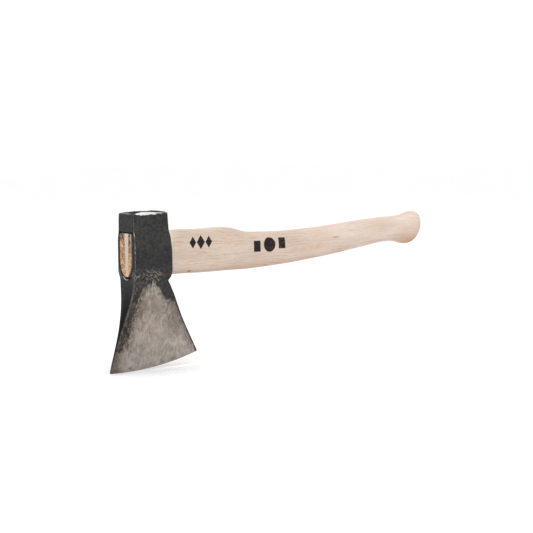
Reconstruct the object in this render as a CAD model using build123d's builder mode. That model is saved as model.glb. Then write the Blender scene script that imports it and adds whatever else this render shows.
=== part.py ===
"""Carving hatchet: a forged head on a curved wooden haft, held by a wooden wedge.

Frame, in millimetres: the origin is the centre of the eye, in the plane of the head's lower end face, where the
haft leaves the head. +X runs along the haft to its butt, +Z goes up to the poll and the cutting edge is at -Z.
The object is the same on both sides of the XZ plane, apart from the wedge, which was driven in beside its middle.
"""

from build123d import *
import math
import os

os.makedirs("parts", exist_ok=True)

# Head, seen from the side (X and Z)
head_length = 45.0  # along the haft, at the eye
poll_length = 41.0  # the poll is shorter than the eye block, on the haft's side
poll_top = 44.0
poll_crown = 1.6  # the poll's flat middle stands this much above its rim
poll_border = (14.0, 2.5)  # width of the sloping border at the poll's two ends, -X and +X
poll_side_border = (7.0, 2.3)  # and along the sides, at the flat middle's -X end and at its +X end
poll_round = 1.4  # rounding of the poll's rim and of the ridges below it
swell_z = 27.0  # where the poll starts to swell into the eye block
swell = ((-3.0, swell_z), (-2.1, 20.5), (-1.2, 12.0))  # the swell on the haft's side, down to the lower end face
cheek_top = 13.0  # the cheeks are flat between these heights
cheek_bottom = -15.0
seat_top = 2.0  # the lower end face is flat between these heights
seat_bottom = -23.8
end_face_bottom = -26.0
block_foot = ((-44.2, -27.8), (-3.3, -27.8))  # the block's lower end, hidden in the blade's root
toe = (-66.3, -119.8)  # ends of the cutting edge
heel = (39.5, -106.8)
edge_sagitta = 4.5

# Head, half thicknesses (Y)
poll_half = 15.1
swell_half = 15.4
cheek_half = 17.5
block_foot_half = 13.0

# The blade's cross-sections from its root down: the point on the toe side, the point on the heel side, and the half
# thickness in the middle and at the two sides. The last one lies past the cutting edge.
blade_sections = [
    ((-44.6, -14.0), (-3.4, -14.0), 14.6, 14.4),
    ((-44.9, -28.0), (-2.6, -28.0), 14.2, 13.6),
    ((-47.2, -50.0), (8.9, -48.4), 10.4, 8.6),
    ((-51.9, -70.0), (18.9, -67.8), 7.0, 4.2),
    ((-57.2, -88.0), (27.9, -84.2), 4.3, 1.8),
    ((-62.0, -104.0), (34.5, -97.0), 2.6, 1.1),
    (toe, heel, 1.7, 0.8),
    ((-68.0, -126.5), (42.4, -113.0), 1.2, 0.6),
]
edge_half = 0.12  # the cutting edge isn't a knife edge
bevel_slope = 0.32  # half thickness gained per millimetre above the cutting edge

# Eye: flat towards the poll, half an ellipse towards the edge. Half width, top, bottom.
eye_in = (11.6, 20.8, -21.6)  # at the end the haft goes in
eye_out = (12.1, 22.9, -24.4)  # at the end the wedge goes in
eye_corner = 2.4
eye_ellipse = 18.5  # height of the half ellipse
eye_rim = 0.8  # chamfer of the eye's mouth

# Haft
tongue_gap = 0.1  # all round, inside the eye
tongue_out_gaps = (0.8, 0.9, 1.8)  # at the sides, the top and the bottom, where the wedge goes in
tongue_proud = 0.6  # the tongue stands out of the eye by this much
shoulder_x = 2.3  # the haft's full section starts this far outside the eye

# The haft's cross-sections from the shoulder to the butt: X and Z of the section's centre, how far it reaches up, how
# far down, its half thickness, the roundness of its upper and of its lower half (2 is an ellipse, more is squarer),
# and how far its plane leans back, in degrees.
haft_sections = [
    (shoulder_x, -4.8, 27.8, 18.0, 12.2, 7.0, 2.2, 0.0),
    (14.0, -2.6, 25.5, 20.1, 12.8, 6.0, 2.9, 0.0),
    (36.0, 0.0, 22.8, 22.8, 12.9, 5.2, 4.2, 0.0),
    (66.0, 0.5, 23.1, 23.3, 12.8, 4.6, 4.2, 0.0),
    (82.0, -0.1, 22.7, 22.7, 12.7, 4.0, 3.8, 0.0),
    (97.5, -2.3, 20.8, 20.8, 12.5, 3.2, 3.2, 0.0),
    (118.0, -3.0, 19.5, 19.5, 12.2, 2.8, 2.8, 0.0),
    (152.0, -2.3, 18.3, 18.3, 11.8, 2.6, 2.6, 0.0),
    (197.0, 0.6, 17.2, 17.2, 11.5, 2.5, 2.5, 4.0),
    (244.0, 5.2, 16.1, 16.1, 11.4, 2.5, 2.5, 7.0),
    (281.0, 9.4, 15.0, 15.0, 11.4, 2.5, 2.5, 6.0),
    (306.0, 11.3, 14.4, 14.4, 11.6, 2.5, 2.5, 3.0),
    (320.0, 11.1, 15.1, 15.1, 12.0, 2.5, 2.5, 0.0),
    (333.0, 10.6, 17.4, 17.4, 12.8, 2.5, 2.5, -6.0),
    (344.5, 12.0, 19.4, 19.4, 13.4, 2.5, 2.5, -13.0),
    (350.4, 11.9, 17.1, 17.4, 12.2, 2.4, 2.4, -15.0),
    (355.0, 11.8, 12.3, 12.7, 9.3, 2.2, 2.2, -14.0),
    (357.9, 11.9, 7.5, 7.8, 5.8, 2.1, 2.1, -11.0),
    (359.2, 12.0, 3.7, 3.8, 3.0, 2.0, 2.0, -8.0),
]
section_points = 28

# Wedge: how far beside the eye's middle it is, and its half thickness at the eye's top and at its bottom, where the
# wedge goes in and at its tip
wedge_y = -2.0
wedge_half = (3.9, 2.1)
wedge_tip_half = (1.3, 0.8)
wedge_depth = 35.0
wedge_foot_gap = 0.8  # between the wedge's lower end and the tongue's outline
saw_cut_gap = 0.08  # between the wedge and each side of the tongue's saw cut
saw_cut_extra = 6.0  # the saw cut goes this much further than the wedge
saw_cut_overrun = 2.0  # past the tongue, above and below


def square_to_haft(x, z=0.0, lean=0.0):
    """A plane square to the haft: its X is the part's Y, its Y is up, and it leans back by lean degrees."""
    angle = math.radians(lean)
    return Plane(origin=(x, 0, z), x_dir=(0, 1, 0), z_dir=(math.cos(angle), 0, math.sin(angle)))


def blade_section(toe_side, heel_side, middle, side):
    """A blade cross-section between two points of the side view: two bowed cheeks and two straight flanks."""
    across = Vector(heel_side[0] - toe_side[0], 0, heel_side[1] - toe_side[1])
    centre = ((toe_side[0] + heel_side[0]) / 2, 0, (toe_side[1] + heel_side[1]) / 2)
    half = across.length / 2
    with BuildSketch(Plane(origin=centre, x_dir=across, z_dir=across.cross(Vector(0, 1, 0)))) as section:
        with BuildLine():
            ThreePointArc((-half, -side), (0, -middle), (half, -side))
            Line((half, -side), (half, side))
            ThreePointArc((half, side), (0, middle), (-half, side))
            Line((-half, side), (-half, -side))
        make_face()
    return section.sketch


def eye_section(x, half, top, bottom):
    """The eye's outline at x: flat at the top with round corners, half an ellipse at the bottom."""
    centre = bottom + eye_ellipse
    with BuildSketch(square_to_haft(x)) as section:
        with BuildLine():
            EllipticalCenterArc((0, centre), half, eye_ellipse, start_angle=180, arc_size=180)
            Line((half, centre), (half, top - eye_corner))
            RadiusArc((half, top - eye_corner), (half - eye_corner, top), -eye_corner)
            Line((half - eye_corner, top), (eye_corner - half, top))
            RadiusArc((eye_corner - half, top), (-half, top - eye_corner), -eye_corner)
            Line((-half, top - eye_corner), (-half, centre))
        make_face()
    return section.sketch


def eye_at(x):
    """The eye's half width, top and bottom at x."""
    share = -x / head_length
    return [a + share * (b - a) for a, b in zip(eye_in, eye_out)]


def tongue_at(x):
    """The tongue's half width, top and bottom at x: the eye's, less the gaps."""
    share = -x / head_length
    half, top, bottom = eye_at(x)
    side_gap, upper_gap, lower_gap = (tongue_gap + share * (gap - tongue_gap) for gap in tongue_out_gaps)
    return half - side_gap, top - upper_gap, bottom + lower_gap


def haft_section(x, z, up, down, half, upper_power, lower_power, lean):
    """A haft cross-section: superellipses of two heights and powers, joined at the centre's level."""
    points = []
    for i in range(section_points):
        angle = 2 * math.pi * i / section_points
        across, rise = math.cos(angle), math.sin(angle)
        power = upper_power if rise >= 0 else lower_power
        height = up if rise >= 0 else down
        stretch = (abs(across) ** power + abs(rise) ** power) ** (-1 / power)
        points.append((half * across * stretch, height * rise * stretch))
    with BuildSketch(square_to_haft(x, z, lean)) as section:
        with BuildLine():
            Spline(*points, periodic=True)
        make_face()
    return section.sketch


def wedge_section(x, halves, top, bottom, grow=0.0):
    """A slice of the wedge at x between two heights. Its half thickness changes evenly with height."""
    slope = (halves[0] - halves[1]) / (eye_out[1] - eye_out[2])
    upper, lower = (halves[0] + slope * (z - eye_out[1]) + grow for z in (top, bottom))
    with BuildSketch(square_to_haft(x)) as section:
        with BuildLine():
            Polyline(
                (wedge_y - upper, top),
                (wedge_y + upper, top),
                (wedge_y + lower, bottom),
                (wedge_y - lower, bottom),
                close=True,
            )
        make_face()
    return section.sketch


def trapezoid(z, x_range, halves):
    """A four-sided shape at height z between two X values, with a half width at each."""
    with BuildSketch(Plane.XY.offset(z)) as section:
        with BuildLine():
            Polyline(
                (x_range[0], -halves[0]),
                (x_range[1], -halves[1]),
                (x_range[1], halves[1]),
                (x_range[0], halves[0]),
                close=True,
            )
        make_face()
    return section.sketch


# Head
rim_z = poll_top - poll_crown
with BuildPart() as head:
    # Poll and eye block: the side profile and the front profile, each extruded, and what the two share
    with BuildSketch(Plane.XZ):
        with BuildLine():
            Polyline(
                block_foot[0],
                (-head_length, end_face_bottom),
                (-head_length, rim_z),
                (poll_length - head_length, rim_z),
                swell[0],
            )
            Spline(*swell, (0, seat_top), tangents=((0.05, -1), (0, -1)))
            Polyline((0, seat_top), (0, seat_bottom), block_foot[1], block_foot[0])
        make_face()
    extrude(amount=cheek_half, both=True)
    foot_z = block_foot[0][1]
    with BuildSketch(Plane.YZ):
        with BuildLine():
            Polyline((0, rim_z), (poll_half, rim_z), (swell_half, swell_z))
            Spline((swell_half, swell_z), (cheek_half, cheek_top), tangents=((0.02, -1), (0, -1)))
            Line((cheek_half, cheek_top), (cheek_half, cheek_bottom))
            Spline((cheek_half, cheek_bottom), (block_foot_half, foot_z), tangents=((0, -1), (-0.2, -1)))
            Polyline((block_foot_half, foot_z), (0, foot_z), (0, rim_z))
        make_face()
        mirror(about=Plane.YZ)
    extrude(amount=head_length, both=True, mode=Mode.INTERSECT)
    # Crown: four slopes up to the poll's flat middle
    crown_foot = trapezoid(rim_z, (-head_length, poll_length - head_length), (poll_half, poll_half))
    flat_range = (poll_border[0] - head_length, poll_length - head_length - poll_border[1])
    flat_halves = [poll_half - border for border in poll_side_border]
    crown_top = trapezoid(poll_top, flat_range, flat_halves)
    loft(sections=[crown_foot, crown_top])
    # The rim and the ridges meet at the poll's corners, so they are rounded together
    rim = head.edges().filter_by_position(Axis.Z, rim_z - 0.1, rim_z + 0.1)
    end_edges = head.faces().sort_by(Axis.X)[0].edges()
    ridges = end_edges.filter_by(lambda edge: abs(edge.center().Y) > block_foot_half / 2)
    fillet(ridges + rim, poll_round)
    # Blade: a loft through its cross-sections, then what a double cone around the edge's arc leaves of it
    loft(sections=[blade_section(*row) for row in blade_sections])
    chord = Vector(heel[0] - toe[0], 0, heel[1] - toe[1])
    edge_radius = chord.length**2 / (8 * edge_sagitta) + edge_sagitta / 2
    upward = Vector(-chord.Z, 0, chord.X).normalized()
    middle = Vector((toe[0] + heel[0]) / 2, 0, (toe[1] + heel[1]) / 2)
    hub = middle + upward * (edge_radius - edge_sagitta)
    hub_half = edge_half + bevel_slope * edge_radius
    with BuildSketch(Plane(origin=hub, x_dir=(0, 0, -1), z_dir=(1, 0, 0))):
        with BuildLine():
            Polyline(
                (0, -hub_half),
                (edge_radius, -edge_half),
                (edge_radius, edge_half),
                (0, hub_half),
                close=True,
            )
        make_face()
    revolve(axis=Axis(hub, (0, 1, 0)), mode=Mode.INTERSECT)
    # Eye, with a chamfered mouth where the wedge goes in
    loft(sections=[eye_section(0, *eye_in), eye_section(-head_length, *eye_out)], mode=Mode.SUBTRACT)
    half, top, bottom = eye_out
    mouth = eye_section(-head_length, half + eye_rim, top + eye_rim, bottom - eye_rim)
    throat = eye_section(eye_rim - head_length, *eye_at(eye_rim - head_length))
    loft(sections=[mouth, throat], mode=Mode.SUBTRACT)
head.part.label = "axe_head"
export_step(head.part, "parts/axe_head.step")

# Haft: the neck and grip as one loft, and a tongue through the eye with a saw cut for the wedge
tongue_end = -head_length - tongue_proud
wedge_tip = tongue_end + wedge_depth
with BuildPart() as haft:
    loft(sections=[haft_section(*row) for row in haft_sections])
    loft(sections=[eye_section(x, *tongue_at(x)) for x in (tongue_end, shoulder_x)])
    cut_top = eye_out[1] + saw_cut_overrun
    cut_bottom = eye_out[2] - saw_cut_overrun
    mouth = wedge_section(tongue_end, wedge_half, cut_top, cut_bottom, saw_cut_gap)
    tip = wedge_section(wedge_tip, wedge_tip_half, cut_top, cut_bottom, saw_cut_gap)
    loft(sections=[mouth, tip], mode=Mode.SUBTRACT)
    with BuildSketch(Plane.XY.offset(cut_bottom)):
        with Locations((wedge_tip, wedge_y)):
            Rectangle(2 * saw_cut_extra, 2 * wedge_tip_half[1])
    extrude(amount=cut_top - cut_bottom, mode=Mode.SUBTRACT)
haft.part.label = "haft"
export_step(haft.part, "parts/haft.step")

# Wedge
with BuildPart() as wedge:
    half, top, bottom = tongue_at(tongue_end)
    mouth = wedge_section(tongue_end, wedge_half, top, bottom + wedge_foot_gap)
    half, top, bottom = tongue_at(wedge_tip)
    tip = wedge_section(wedge_tip, wedge_tip_half, top, bottom + wedge_foot_gap)
    loft(sections=[mouth, tip])
wedge.part.label = "eye_wedge"
export_step(wedge.part, "parts/eye_wedge.step")
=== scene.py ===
from math import cos, exp, pi, radians, sin

import bmesh
import bpy
import numpy as np
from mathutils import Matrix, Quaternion, Vector, noise
from mathutils.bvhtree import BVHTree
from mathutils.kdtree import KDTree


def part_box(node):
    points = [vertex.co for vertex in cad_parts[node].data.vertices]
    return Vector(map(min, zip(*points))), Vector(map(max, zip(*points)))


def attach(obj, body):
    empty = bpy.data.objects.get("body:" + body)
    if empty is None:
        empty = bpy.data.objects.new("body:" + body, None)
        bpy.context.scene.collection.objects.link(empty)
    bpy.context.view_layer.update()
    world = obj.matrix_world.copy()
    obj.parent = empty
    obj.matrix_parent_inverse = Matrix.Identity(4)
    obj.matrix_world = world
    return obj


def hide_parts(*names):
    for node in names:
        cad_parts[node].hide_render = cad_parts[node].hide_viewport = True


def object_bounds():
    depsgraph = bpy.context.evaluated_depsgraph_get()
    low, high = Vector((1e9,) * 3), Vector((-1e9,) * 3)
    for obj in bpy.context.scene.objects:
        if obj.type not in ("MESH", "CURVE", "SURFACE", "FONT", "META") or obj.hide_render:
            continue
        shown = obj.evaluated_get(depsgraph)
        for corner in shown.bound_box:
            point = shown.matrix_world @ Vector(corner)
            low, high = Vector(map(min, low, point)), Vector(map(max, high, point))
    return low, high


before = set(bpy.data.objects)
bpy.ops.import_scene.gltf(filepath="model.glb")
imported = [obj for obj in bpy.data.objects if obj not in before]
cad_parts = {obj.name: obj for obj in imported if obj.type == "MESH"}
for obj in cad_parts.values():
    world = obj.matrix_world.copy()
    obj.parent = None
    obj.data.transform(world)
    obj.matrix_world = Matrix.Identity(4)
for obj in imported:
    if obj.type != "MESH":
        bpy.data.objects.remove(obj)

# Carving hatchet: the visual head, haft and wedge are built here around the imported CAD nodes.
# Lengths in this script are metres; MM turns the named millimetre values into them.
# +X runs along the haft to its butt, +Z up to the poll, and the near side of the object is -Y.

MM = 0.001
SHARP_STEEL, SHARP_WOOD = radians(38), radians(40)  # edges bent more than this stay sharp
scene = bpy.context.scene
cad_low, cad_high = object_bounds()


# -------- shared mesh helpers

class CadSurface:
    """A CAD node's surface, for ray casts and sections."""

    def __init__(self, node):
        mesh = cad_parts[node].data
        self.points = np.array([v.co for v in mesh.vertices])
        self.ends = np.array([e.vertices for e in mesh.edges]).T
        self.tree = BVHTree.FromPolygons([v.co for v in mesh.vertices], [p.vertices for p in mesh.polygons])

    def extent(self, axis, level, measured):
        """Lowest and highest value of one coordinate where the surface crosses a level of another."""
        a, b = self.points[self.ends[0]], self.points[self.ends[1]]
        da, db = a[:, axis] - level, b[:, axis] - level
        crossing = (da <= 0) != (db <= 0)
        share = da[crossing] / (da[crossing] - db[crossing])
        values = a[crossing, measured] + share * (b[crossing, measured] - a[crossing, measured])
        return values.min(), values.max()

    def reach(self, start, direction):
        """Distance from a point to the surface, or None where the surface isn't met."""
        return self.tree.ray_cast(start, Vector(direction))[3]


def smooth_rows(values, passes):
    """Evens out a grid of closed rows along both directions, which takes the CAD mesh's facets away."""
    for _ in range(passes):
        middle = values[1:-1] * 0.5 + (values[:-2] + values[2:]) * 0.25
        values = np.vstack([values[:1], middle, values[-1:]])
        values = values * 0.5 + (np.roll(values, 1, 1) + np.roll(values, -1, 1)) * 0.25
    return values


def ramp(values, low, high):
    """0 at low, 1 at high, a smooth change between; low may be the bigger one."""
    t = np.clip((values - low) / (high - low), 0, 1)
    return t * t * (3 - 2 * t)


def add_object(name, data):
    item = bpy.data.objects.new(name, data)
    scene.collection.objects.link(item)
    return item


def new_piece(name, points, faces, material, cad_node):
    """A mesh piece that rides on the hatchet and stands for a CAD node."""
    mesh = bpy.data.meshes.new(name)
    mesh.from_pydata([tuple(p) for p in points], [], faces)
    mesh.validate()
    mesh.polygons.foreach_set("use_smooth", [True] * len(mesh.polygons))
    mesh.materials.append(material)
    piece = add_object(name, mesh)
    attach(piece, "root")
    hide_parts(cad_node)
    return piece


def tube_faces(rows, count):
    """Quads between consecutive closed rows of count points."""
    faces = []
    for low in range(0, (rows - 1) * count, count):
        for i in range(count):
            k = (i + 1) % count
            faces.append((low + i, low + k, low + count + k, low + count + i))
    return faces


def apply_modifiers(piece):
    """Turns a piece's modifiers into plain geometry."""
    graph = bpy.context.evaluated_depsgraph_get()
    shaped = bpy.data.meshes.new_from_object(piece.evaluated_get(graph))
    piece.modifiers.clear()
    old = piece.data
    piece.data = shaped
    bpy.data.meshes.remove(old)


def face_outwards(mesh):
    bm = bmesh.new()
    bm.from_mesh(mesh)
    bmesh.ops.recalc_face_normals(bm, faces=bm.faces)
    bm.to_mesh(mesh)
    bm.free()


def cut(piece, rows):
    """Takes a closed shape, given as rows of points round it, away from a piece."""
    count = len(rows[0])
    points = [p for row in rows for p in row]
    faces = tube_faces(len(rows), count)
    faces.append(list(range(count))[::-1])
    faces.append([len(points) - count + i for i in range(count)])
    mesh = bpy.data.meshes.new("cutter")
    mesh.from_pydata(points, [], faces)
    face_outwards(mesh)
    cutter = add_object("cutter", mesh)
    boolean = piece.modifiers.new("cut", "BOOLEAN")
    boolean.operation = "DIFFERENCE"
    boolean.object = cutter
    boolean.solver = "EXACT"
    apply_modifiers(piece)
    bpy.data.objects.remove(cutter)


def store(piece, name, values):
    """Keeps one number per point, which the piece's material reads."""
    layer = piece.data.attributes.new(name, "FLOAT", "POINT")
    layer.data.foreach_set("value", np.asarray(values, np.float32))


def vectors(piece, kind):
    """One vector per point: its place for "co", its direction outwards for "normal"."""
    values = np.zeros(len(piece.data.vertices) * 3)
    piece.data.vertices.foreach_get(kind, values)
    return values.reshape(-1, 3)


def lumps(points, size, seed):
    """Smooth noise between -1 and 1 at each point, with lumps of about the given size."""
    shift = Vector((seed * 17.3, seed * 5.1, seed * 9.7))
    return np.array([noise.noise(Vector(p) / size + shift) for p in points])


def move(piece, amounts):
    """Moves each point along its normal."""
    moved = vectors(piece, "co") + vectors(piece, "normal") * np.asarray(amounts)[:, None]
    piece.data.vertices.foreach_set("co", moved.ravel())
    piece.data.update()


# -------- the eye, measured on the CAD head

EYE_CORNER = 2.4 * MM
EYE_ELLIPSE = 18.5 * MM
EYE_RIM = 0.8 * MM
HEAD_LENGTH = 45.0 * MM
EYE_PROBES = (-5.0 * MM, MM - HEAD_LENGTH)
head_cad = CadSurface("axe_head")


def eye_at(x):
    """The eye's half width, top and bottom at x: measured near both ends, even in between."""
    ends = []
    for probe_x in EYE_PROBES:
        start = Vector((probe_x, 0, 0))
        reach = [head_cad.reach(start, d) for d in ((0, 1, 0), (0, 0, 1), (0, 0, -1))]
        ends.append((probe_x, reach[0], reach[1], -reach[2]))
    (x0, *lower), (x1, *upper) = ends
    share = (x - x0) / (x1 - x0)
    return [a + share * (b - a) for a, b in zip(lower, upper)]


def bullet_outline(half, top, bottom, steps=24):
    """The eye's outline in Y and Z: half an ellipse below, two straight sides and a flat top."""
    centre = bottom + EYE_ELLIPSE
    outline = []
    for i in range(2 * steps + 1):
        angle = pi + pi * i / (2 * steps)
        outline.append((half * cos(angle), centre + EYE_ELLIPSE * sin(angle)))
    corner_steps = steps // 3
    for side, first_angle in ((1, 0.0), (-1, pi / 2)):
        for i in range(corner_steps + 1):
            angle = pi / 2 * i / corner_steps + first_angle
            outline.append((side * (half - EYE_CORNER) + EYE_CORNER * cos(angle),
                            top - EYE_CORNER + EYE_CORNER * sin(angle)))
    return outline


# -------- head

POLL_CROWN = 1.6 * MM
# Widths of the crown's slopes: -X end, +X end, and the cheek sides at those two ends
POLL_BORDERS = (14.0 * MM, 2.5 * MM, 7.0 * MM, 2.3 * MM)
POLL_ROUND = 1.4 * MM
SLOPE_ROWS = 14
RIM_SHARE = 0.14  # the rim is rounded up to this share of the slopes
RIM_ANGLES = np.radians((76, 63, 50, 36, 22, 10))
RIDGE_ROUND = 1.4 * MM
RIDGE_UNEVEN = 0.15
RIDGE_LUMP = 5.0 * MM
RIDGE_SEED = 3.1
BLADE_ROUND = 0.45 * MM
BLADE_THINNING = 0.4  # how much of that round is gone at the cutting edge
ROUND_FADE = 0.07  # share of the blade over which the block's round turns into the blade's
BLADE_ROOT = -28.0 * MM
EDGE_PROBE = 28.0 * MM
EDGE_STOP = 0.9995  # the last row is this share of the way down, where the steel still has some thickness
EDGE_HALF = 0.02 * MM
PROBE_INSET = 2.2 * MM
ROUND_LIMIT = 0.9  # a round takes up at most this share of the half thickness
SLOPE_SAMPLES = 3  # past its first and last sample a row goes on at the slope over this many of them
BLOCK_ROW = 0.75 * MM
BLADE_ROWS = 112
COLUMNS = 104
CORNER_STEPS = 4
FLANK_STEPS = 30
SIDE_COUNT = 2 * CORNER_STEPS + FLANK_STEPS - 1
FAR_FIRST = COLUMNS + SIDE_COUNT + 1  # a loop's first point on the far cheek
LOOP_COUNT = 2 * FAR_FIRST

toe = head_cad.points[head_cad.points[:, 0].argmin()]
heel = head_cad.points[head_cad.points[:, 0].argmax()]
poll_top = head_cad.points[:, 2].max()
rim_z = poll_top - POLL_CROWN
block_top = rim_z - POLL_ROUND


def edge_bow():
    """How far the cutting edge bows out below the line from toe to heel."""
    run = Vector((heel[0] - toe[0], 0, heel[2] - toe[2])).normalized()
    down = Vector((run.z, 0, -run.x))
    start = Vector(((heel[0] + toe[0]) / 2, 0, (heel[2] + toe[2]) / 2)) + down * EDGE_PROBE
    return EDGE_PROBE - head_cad.reach(start, -down)


def half_thickness(x, z):
    hit = head_cad.tree.ray_cast(Vector((x, -HEAD_LENGTH, z)), Vector((0, 1, 0)))[0]
    return -hit.y if hit else 0.0


class HeadRow:
    """One closed row round the head: a line from the toe side to the heel side, and the thickness on it."""

    def __init__(self, z_toe, z_heel, bow=0.0):
        left = head_cad.extent(2, z_toe, 0)[0]
        right = head_cad.extent(2, z_heel, 0)[1]
        self.start = np.array((left, z_toe))
        run = np.array((right - left, z_heel - z_toe))
        self.width = np.hypot(*run)
        self.along = run / self.width
        self.down = np.array((self.along[1], -self.along[0]))
        self.bow = bow
        self.samples = np.linspace(PROBE_INSET, self.width - PROBE_INSET, COLUMNS + 1)
        self.halves = np.array([half_thickness(*self.place(a)) for a in self.samples])

    def place(self, a):
        """X and Z at distance a along the row."""
        share = a / self.width
        return self.start + self.along * a + self.down * self.bow * 4 * share * (1 - share)

    def half(self, a):
        """Half thickness at distance a, carried on evenly past the first and last sample."""
        s, h, n = self.samples, self.halves, SLOPE_SAMPLES
        inside = np.interp(a, s, h)
        before = h[0] + (h[0] - h[n]) / (s[0] - s[n]) * (a - s[0])
        after = h[-1] + (h[-1] - h[-1 - n]) / (s[-1] - s[-1 - n]) * (a - s[-1])
        return np.where(a < s[0], before, np.where(a > s[-1], after, inside))

    def loop(self, insets=(0.0, 0.0, 0.0, 0.0), lift=0.0, radius=RIDGE_ROUND):
        """The row's points, and how much of an edge each one is on.

        The insets are at the toe side, at the heel side, and at the two ends of each cheek."""
        inner = self.width - insets[0] - insets[1]
        shares = np.linspace(0, 1, COLUMNS + 1)
        columns = insets[0] + radius + (inner - 2 * radius) * shares
        cheek_inset = insets[2] + (insets[3] - insets[2]) * shares
        halves = np.maximum(self.half(columns) - cheek_inset, EDGE_HALF)
        near = [(a, -h, 0.0) for a, h in zip(columns, halves)]
        toe_flank = self.flank(insets[0], halves[0], radius, -1)
        heel_flank = self.flank(self.width - insets[1], halves[-1], radius, 1)
        far = [(a, h, 0.0) for a, h in zip(columns[::-1], halves[::-1])]
        ring = near + heel_flank + far + toe_flank[::-1]
        points = [(*self.place(a), y) for a, y, _ in ring]
        return [(x, y, z + lift) for x, z, y in points], [edge for _, _, edge in ring]

    def flank(self, end, half, radius, side):
        """A flank's points from the near to the far corner; side is 1 at the heel and -1 at the toe."""
        radius_y = min(radius, ROUND_LIMIT * half)
        centre = end - side * radius
        points = []
        for i in range(1, CORNER_STEPS + 1):
            angle = pi / 2 * i / CORNER_STEPS
            y = radius_y - half - radius_y * cos(angle)
            points.append((centre + side * radius * sin(angle), y, sin(2 * angle)))
        flat = half - radius_y
        for i in range(1, FLANK_STEPS):
            points.append((end, flat * (2 * i / FLANK_STEPS - 1), 0.0))
        far = [(a, -y, edge) for a, y, edge in points[:CORNER_STEPS][::-1]]
        return points + far


def poll_loops():
    """From the crown's flat middle down its slopes and round the rim."""
    top = HeadRow(block_top, block_top)
    for share in np.linspace(1, RIM_SHARE, SLOPE_ROWS):
        yield top.loop([border * share for border in POLL_BORDERS], POLL_ROUND + POLL_CROWN * share)
    for angle in RIM_ANGLES:
        insets = [border * RIM_SHARE * (1 - cos(angle)) for border in POLL_BORDERS]
        points, edge = top.loop(insets, (POLL_ROUND + RIM_SHARE * POLL_CROWN) * sin(angle))
        yield points, np.maximum(edge, sin(2 * angle))


def block_loops():
    """Down the eye block, whose upright edges are worn a little unevenly."""
    for z in np.linspace(block_top, BLADE_ROOT, round((block_top - BLADE_ROOT) / BLOCK_ROW)):
        worn = 1 + RIDGE_UNEVEN * noise.noise(Vector((RIDGE_SEED, 0, z / RIDGE_LUMP)))
        yield HeadRow(z, z).loop(radius=RIDGE_ROUND * worn)


def blade_loops():
    """Down the blade, fanning out to follow the cutting edge."""
    bow = edge_bow()
    for share in np.linspace(0, 1, BLADE_ROWS + 1)[1:]:
        share = min(share, EDGE_STOP)
        z_toe, z_heel = [BLADE_ROOT + share * (end[2] - BLADE_ROOT) for end in (toe, heel)]
        sharper = BLADE_ROUND * (1 - BLADE_THINNING * share)
        radius = sharper + (RIDGE_ROUND - BLADE_ROUND) * exp(-share / ROUND_FADE)
        yield HeadRow(z_toe, z_heel, bow * share ** 2).loop(radius=radius)


def poll_cap(ring, first):
    """A grid over the crown's middle, inside the first loop: its points, numbered from first, and faces."""
    near = ring[:COLUMNS + 1]
    far = ring[FAR_FIRST:FAR_FIRST + COLUMNS + 1][::-1]
    heel_side = np.vstack([near[-1:], ring[COLUMNS + 1:FAR_FIRST], far[-1:]])
    toe_side = np.vstack([near[:1], ring[FAR_FIRST + COLUMNS + 1:][::-1], far[:1]])
    grid = np.zeros((COLUMNS + 1, SIDE_COUNT + 2), int)
    grid[0] = LOOP_COUNT - np.arange(SIDE_COUNT + 2)
    grid[COLUMNS] = COLUMNS + np.arange(SIDE_COUNT + 2)
    grid[:, 0] = np.arange(COLUMNS + 1)
    grid[:, -1] = FAR_FIRST + COLUMNS - np.arange(COLUMNS + 1)
    points = []
    for m in range(1, SIDE_COUNT + 1):
        for k in range(1, COLUMNS):
            u, v = k / COLUMNS, m / (SIDE_COUNT + 1)
            corners = (1 - u) * ((1 - v) * near[0] + v * far[0]) + u * ((1 - v) * near[-1] + v * far[-1])
            place = (1 - v) * near[k] + v * far[k] + (1 - u) * toe_side[m] + u * heel_side[m] - corners
            grid[k, m] = first + len(points)
            points.append(tuple(place))
    faces = []
    for k in range(COLUMNS):
        for m in range(SIDE_COUNT + 1):
            faces.append((grid[k, m], grid[k, m + 1], grid[k + 1, m + 1], grid[k + 1, m]))
    return points, faces


def edge_faces(last):
    """The cutting edge: the last loop's near and far sides joined, and a face at each end."""
    faces = []
    for k in range(COLUMNS):
        across = last + FAR_FIRST + COLUMNS - k
        faces.append((last + k, last + k + 1, across - 1, across))
    faces.append([last + i for i in range(COLUMNS, FAR_FIRST + 1)])
    faces.append([last + i for i in range(FAR_FIRST + COLUMNS, LOOP_COUNT)] + [last])
    return faces


def build_head(material):
    """The head without its eye, its points, and how much of an edge each point is on."""
    loops = [*poll_loops(), *block_loops(), *blade_loops()]
    points = [p for row, _ in loops for p in row]
    cap_points, cap_faces = poll_cap(np.array(loops[0][0]), len(points))
    faces = tube_faces(len(loops), LOOP_COUNT) + cap_faces + edge_faces((len(loops) - 1) * LOOP_COUNT)
    head = new_piece("forged_head", points + cap_points, faces, material, "axe_head")
    face_outwards(head.data)
    edge = np.concatenate([on_edge for _, on_edge in loops] + [np.zeros(len(cap_points))])
    return head, np.array(points + cap_points), edge


def cut_eye(head):
    """The tapered eye with its chamfered mouth."""
    stations = ((MM, 0.0), (EYE_RIM - HEAD_LENGTH, 0.0), (-HEAD_LENGTH, EYE_RIM),
                (-HEAD_LENGTH - MM, EYE_RIM + MM))
    rows = []
    for x, grow in stations:
        half, top, bottom = eye_at(x)
        rows.append([(x, y, z) for y, z in bullet_outline(half + grow, top + grow, bottom - grow)])
    cut(head, rows)


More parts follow.
